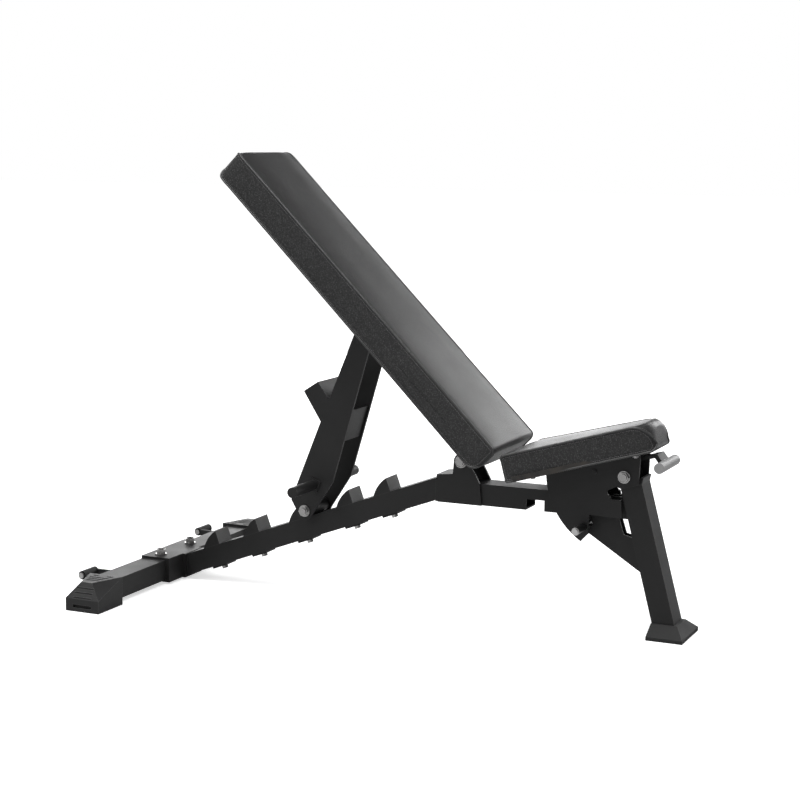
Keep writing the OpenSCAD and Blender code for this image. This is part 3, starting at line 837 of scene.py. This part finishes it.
    def puff_up(self, piece: bpy.types.Object) -> None:
        """Blows the shell up as cloth, with its seams and its underside held."""
        before = [v.co.copy() for v in piece.data.vertices]
        after = before
        held = piece.vertex_groups.new(name="held")
        base = self.low.z + self.held_under
        for k, co in enumerate(before):
            beside = abs(co.y) > self.half_at(co.x) - self.held_edge
            on_seam = beside and self.off_seam(co) < MM
            if co.z < base or on_seam:
                held.add([k], 1.0, "REPLACE")
        cloth = piece.modifiers.new("cloth", "CLOTH")
        cloth.settings.use_pressure = True
        cloth.settings.uniform_pressure_force = self.pressure
        cloth.settings.vertex_group_mass = "held"
        cloth.settings.effector_weights.gravity = 0.0
        cloth.settings.quality = 5
        cloth.point_cache.frame_start, cloth.point_cache.frame_end = 1, self.frames
        for step in range(1, self.frames + 1):
            bpy.context.scene.frame_set(step)
        settle(piece)
        bpy.context.scene.frame_set(1)
        after = [v.co.copy() for v in piece.data.vertices]
        for vertex, start, end in zip(piece.data.vertices, before, after):
            move = end - start
            move.y = math.copysign(min(abs(move.y), self.side_puff), move.y)
            move.z = min(move.z, self.top_puff)
            move.x = math.copysign(min(abs(move.x), self.side_puff), move.x)
            rise = max(0.0, (start.z - self.low.z) / (self.high.z - self.low.z)) ** 3
            across = max(0.0, 1 - (start.y / self.half_at(start.x)) ** 4)
            lift = self.crown * rise * across
            up = max(0.0, move.z * self.puff_kept) + lift * self.crown_kept
            vertex.co = start + Vector((move.x, move.y, up))
        piece.vertex_groups.clear()

    def off_seam(self, point: Vector) -> float:
        """Distance from a point to the seam's outline, seen from the side."""
        flat = Vector((point.x, 0.0, point.z))
        return min((flat - p).length for p in self.seam)

    def refine(self, piece: bpy.types.Object) -> None:
        """Subdivides the pad once."""
        finer = piece.modifiers.new("finer", "SUBSURF")
        finer.levels = finer.render_levels = 1
        settle(piece)

    def hold_inside(self, piece: bpy.types.Object) -> None:
        """Keeps the pad inside the block that the frame holds for it."""
        low, high = self.low, self.high
        count = len(piece.data.vertices)
        spots = np.empty(count * 3)
        piece.data.vertices.foreach_get("co", spots)
        top = np.array(high) + np.array((0.0, 0.0, self.proud))
        spots = np.clip(spots.reshape(count, 3), np.array(low), top)
        piece.data.vertices.foreach_set("co", spots.ravel())
        piece.data.update()

    def on_surface(self, surface: BVHTree, side: int, inset: float,
                   y_in: float) -> list[Vector]:
        """Path on the pad that follows its seam.

        Args:
            surface: the pad's surface.
            side: -1 or 1, which side panel.
            inset: how far in from the seam's outline it runs.
            y_in: how far in from the seam it runs, across the pad.

        Returns:
            Points of the closed path.
        """
        rim = self.outline(inset)
        return [surface.find_nearest(Vector((p.x, side * (self.half_at(p.x) - y_in), p.z)))[0]
                for p in rim]

    def press_rows(self, piece: bpy.types.Object,
                   paths: Sequence[Sequence[Vector]]) -> None:
        """Pulls the surface in along the stitch rows."""
        points = [p for path in paths for p in path]
        tree = KDTree(len(points))
        for k, point in enumerate(points):
            tree.insert(point, k)
        tree.balance()
        normals = [v.normal.copy() for v in piece.data.vertices]
        spots = [v.co.copy() for v in piece.data.vertices]
        for vertex, normal, spot in zip(piece.data.vertices, normals, spots):
            share = math.exp(-(tree.find(spot)[2] / self.row_width) ** 2)
            wave = noise.noise(Vector((spot.x * 14, spot.y * 22, spot.z * 30)))
            vertex.co = spot - normal * (self.row_depth * share) + normal * (self.ripple * wave)

    def mark_panels(self, piece: bpy.types.Object) -> None:
        """Writes which points belong to the side panels."""
        mark = piece.data.attributes.new(VinylFinish().mask_name, "FLOAT", "POINT")
        values = [1.0 if abs(v.co.y) > self.half_at(v.co.x) - self.panel_edge else 0.0
                  for v in piece.data.vertices]
        mark.data.foreach_set("value", values)

    def surface_of(self, piece: bpy.types.Object) -> BVHTree:
        """The pad's surface, for finding places on it."""
        return BVHTree.FromPolygons([v.co for v in piece.data.vertices],
                                    [p.vertices for p in piece.data.polygons])

    def build(self, finishes: Finishes) -> None:
        """Builds, dresses and attaches the pad, its welts and its stitches."""
        self.seam = self.outline()
        piece = self.panels()
        self.puff_up(piece)
        self.refine(piece)
        smooth(piece.data)
        surface = self.surface_of(piece)
        rows = [self.on_surface(surface, side, inset, y_in) for side in (-1, 1)
                for inset, y_in in ((0.0, self.row_gap), (self.row_gap, 0.0))]
        self.press_rows(piece, rows)
        self.hold_inside(piece)
        self.mark_panels(piece)
        surface = self.surface_of(piece)
        self.finish_piece(piece, finishes.vinyl)
        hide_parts(self.node)
        LOG.info("pad %s: %d faces", self.name, len(piece.data.polygons))
        for side, tag in ((-1, "right"), (1, "left")):
            path = self.on_surface(surface, side, 0.0, 0.0)
            bead = sweep_tube(f"{self.name}_welt_{tag}", path, self.welt)
            self.finish_piece(bead, finishes.welt)
            LOG.info("welt %s", bead.name)
        rows = [self.on_surface(surface, side, inset, y_in) for side in (-1, 1)
                for inset, y_in in ((0.0, self.row_gap), (self.row_gap, 0.0))]
        sewn = StitchRow().sew(f"{self.name}_stitches", rows, finishes.thread)
        self.finish_piece(sewn, None)
        LOG.info("stitches %s: %d faces", sewn.name, len(sewn.data.polygons))

    def finish_piece(self, piece: bpy.types.Object, material: bpy.types.Material | None) -> None:
        """Moves a piece's mesh to its place, gives it a finish and lets it ride.

        Args:
            piece: a piece in the pad's own frame.
            material: its finish, or None to keep what it has.
        """
        piece.data.transform(self.to_world)
        if material is not None:
            piece.data.materials.clear()
            piece.data.materials.append(material)
        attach(piece, self.body.value)


# ---------- studio ----------


@dataclass(frozen=True)
class Softbox:
    """One square soft light: where it hangs, how wide it is and its power."""

    name: str
    at: tuple[float, float, float]
    size: float
    power: float

    def hang(self, aim: Vector) -> None:
        """Hangs the light, aimed at a point and hidden from the camera."""
        lamp = bpy.data.lights.new(self.name, "AREA")
        lamp.shape, lamp.size, lamp.energy = "SQUARE", self.size, self.power
        holder = bpy.data.objects.new(self.name, lamp)
        at = Vector(self.at)
        holder.matrix_world = Matrix.Translation(at) @ (
            aim - at).to_track_quat("-Z", "Y").to_matrix().to_4x4()
        holder.visible_camera = False
        bpy.context.scene.collection.objects.link(holder)


@dataclass
class Studio:
    """Plain pale floor, soft lights and the camera."""

    softboxes: tuple[Softbox, ...] = (
        Softbox("rear_softbox", (1.10, 4.0, 1.45), 1.7, 50.0),
        Softbox("horizon_softbox", (-2.3, 4.2, 0.8), 3.0, 95.0),
        Softbox("top_softbox", (0.6, -0.7, 2.9), 1.5, 38.0),
        Softbox("fill_softbox", (-1.8, -3.0, 2.0), 0.8, 14.0),
    )

    floor_reach: float = 30.0
    camera_at: Vector = field(default_factory=lambda: Vector((1.651, -3.687, 1.052)))
    aim_at: Vector = field(default_factory=lambda: Vector((-0.010, 0.0, 0.476)))
    roll: float = 0.55
    lens: float = 81.6
    shift_x: float = 0.0028
    shift_y: float = -0.0058
    ambient: float = 0.24
    backdrop: float = 1.0
    paper_glow: float = 0.60
    bounce: float = 0.60

    def floor(self) -> None:
        """Lays the floor just under the feet."""
        reach = self.floor_reach
        mesh = bpy.data.meshes.new("studio_floor")
        mesh.from_pydata([(-reach, -reach, 0), (reach, -reach, 0), (reach, reach, 0),
                          (-reach, reach, 0)], [], [(0, 1, 2, 3)])
        piece = link_mesh("studio_floor", mesh)
        material, nodes, shader = blank_material("studio_paper")
        texture = nodes.add("ShaderNodeTexNoise")
        texture.inputs["Scale"].default_value = 3.0
        tone = nodes.remap(texture.outputs["Fac"], 0.0, 1.0, 0.86, 0.88)
        nodes.join(tone, shader.inputs["Base Color"])
        shader.inputs["Roughness"].default_value = 0.9
        shader.inputs["Specular IOR Level"].default_value = 0.1
        glow = nodes.add("ShaderNodeEmission")
        glow.inputs["Strength"].default_value = self.paper_glow
        both = nodes.add("ShaderNodeAddShader")
        dull = nodes.add("ShaderNodeBsdfDiffuse")
        dull.inputs["Color"].default_value = grey(self.bounce)
        path = nodes.add("ShaderNodeLightPath")
        choice = nodes.add("ShaderNodeMixShader")
        output = next(n for n in nodes.tree.nodes if n.type == "OUTPUT_MATERIAL")
        nodes.join(shader.outputs[0], both.inputs[0])
        nodes.join(glow.outputs[0], both.inputs[1])
        nodes.join(path.outputs["Is Camera Ray"], choice.inputs[0])
        nodes.join(dull.outputs[0], choice.inputs[1])
        nodes.join(both.outputs[0], choice.inputs[2])
        nodes.join(choice.outputs[0], output.inputs[0])
        mesh.materials.append(material)

    def world(self) -> None:
        """Makes the surroundings: white to the eye, dimmer as a light."""
        world = bpy.data.worlds.new("studio_world")
        bpy.context.scene.world = world
        world.use_nodes = True
        world.node_tree.nodes.clear()
        nodes = Nodes(world.node_tree)
        seen = nodes.add("ShaderNodeBackground")
        seen.inputs["Strength"].default_value = self.backdrop
        seen.inputs["Color"].default_value = (1.0, 1.0, 1.0, 1.0)
        light = nodes.add("ShaderNodeBackground")
        light.inputs["Strength"].default_value = self.ambient
        light.inputs["Color"].default_value = (0.98, 0.98, 1.0, 1.0)
        path = nodes.add("ShaderNodeLightPath")
        choice = nodes.add("ShaderNodeMixShader")
        output = nodes.add("ShaderNodeOutputWorld")
        nodes.join(path.outputs["Is Camera Ray"], choice.inputs[0])
        nodes.join(light.outputs[0], choice.inputs[1])
        nodes.join(seen.outputs[0], choice.inputs[2])
        nodes.join(choice.outputs[0], output.inputs[0])

    def sun(self, name: str, direction: Vector, strength: float, spread: float) -> None:
        """Adds one even, wide light that reaches the whole floor."""
        lamp = bpy.data.lights.new(name, "SUN")
        lamp.energy, lamp.angle = strength, math.radians(spread)
        holder = bpy.data.objects.new(name, lamp)
        holder.matrix_world = direction.to_track_quat("-Z", "Y").to_matrix().to_4x4()
        bpy.context.scene.collection.objects.link(holder)

    def camera(self) -> None:
        """Sets up the camera."""
        lens = bpy.data.cameras.new("studio_camera")
        lens.lens, lens.sensor_width = self.lens, 36.0
        lens.shift_x, lens.shift_y = self.shift_x, self.shift_y
        holder = bpy.data.objects.new("studio_camera", lens)
        turn = (self.aim_at - self.camera_at).to_track_quat("-Z", "Y").to_matrix().to_4x4()
        holder.matrix_world = Matrix.Translation(self.camera_at) @ turn @ Matrix.Rotation(
            math.radians(self.roll), 4, "Z")
        bpy.context.scene.collection.objects.link(holder)
        bpy.context.scene.camera = holder

    def build(self) -> None:
        """Builds the whole studio."""
        bpy.context.scene.view_settings.view_transform = "Standard"
        self.floor()
        self.world()
        middle = Vector((0.0, 0.0, 0.45))
        self.sun("even_light", Vector((0.45, 0.25, -1.0)), 1.7, 50.0)
        for box in self.softboxes:
            box.hang(middle)
        self.camera()
        LOG.info("studio ready")


# ---------- the bench ----------


@dataclass
class Backrest:
    """The long hinged pad."""

    slope: float = 45.0

    def build(self, finishes: Finishes) -> None:
        """Builds the backrest's upholstery."""
        panel = SidePanel(rear_low=14 * MM, front_low=26 * MM, front_high=12 * MM,
                          rear_high=13 * MM)
        UpholsteredPad("back_cushion", "back_pad", "back_board", Body.BACKREST, "backrest_tilt",
                       self.slope, panel, fill=0.9, tail=26 * MM).build(finishes)


@dataclass
class Seat:
    """The short tilting pad."""

    slope: float = -15.3

    def build(self, finishes: Finishes) -> None:
        """Builds the seat's upholstery."""
        panel = SidePanel(rear_low=9 * MM, front_low=12 * MM, front_high=44 * MM,
                          rear_high=11 * MM)
        UpholsteredPad("seat_cushion", "seat_pad", "seat_board", Body.SEAT, "seat_tilt",
                       self.slope, panel, fill=0.9, narrow=59.5 * MM,
                       nose=20 * MM, crown=3 * MM).build(finishes)


def main() -> None:
    """Dresses the frame, makes the upholstery and sets the studio."""
    logging.basicConfig(level=logging.INFO, format="%(message)s")
    finishes = Finishes()
    finishes.dress_frame()
    builders: tuple[Callable[[Finishes], None], ...] = (Backrest().build, Seat().build)
    for build in builders:
        build(finishes)
    Studio().build()


if __name__ == "__main__":
    main()
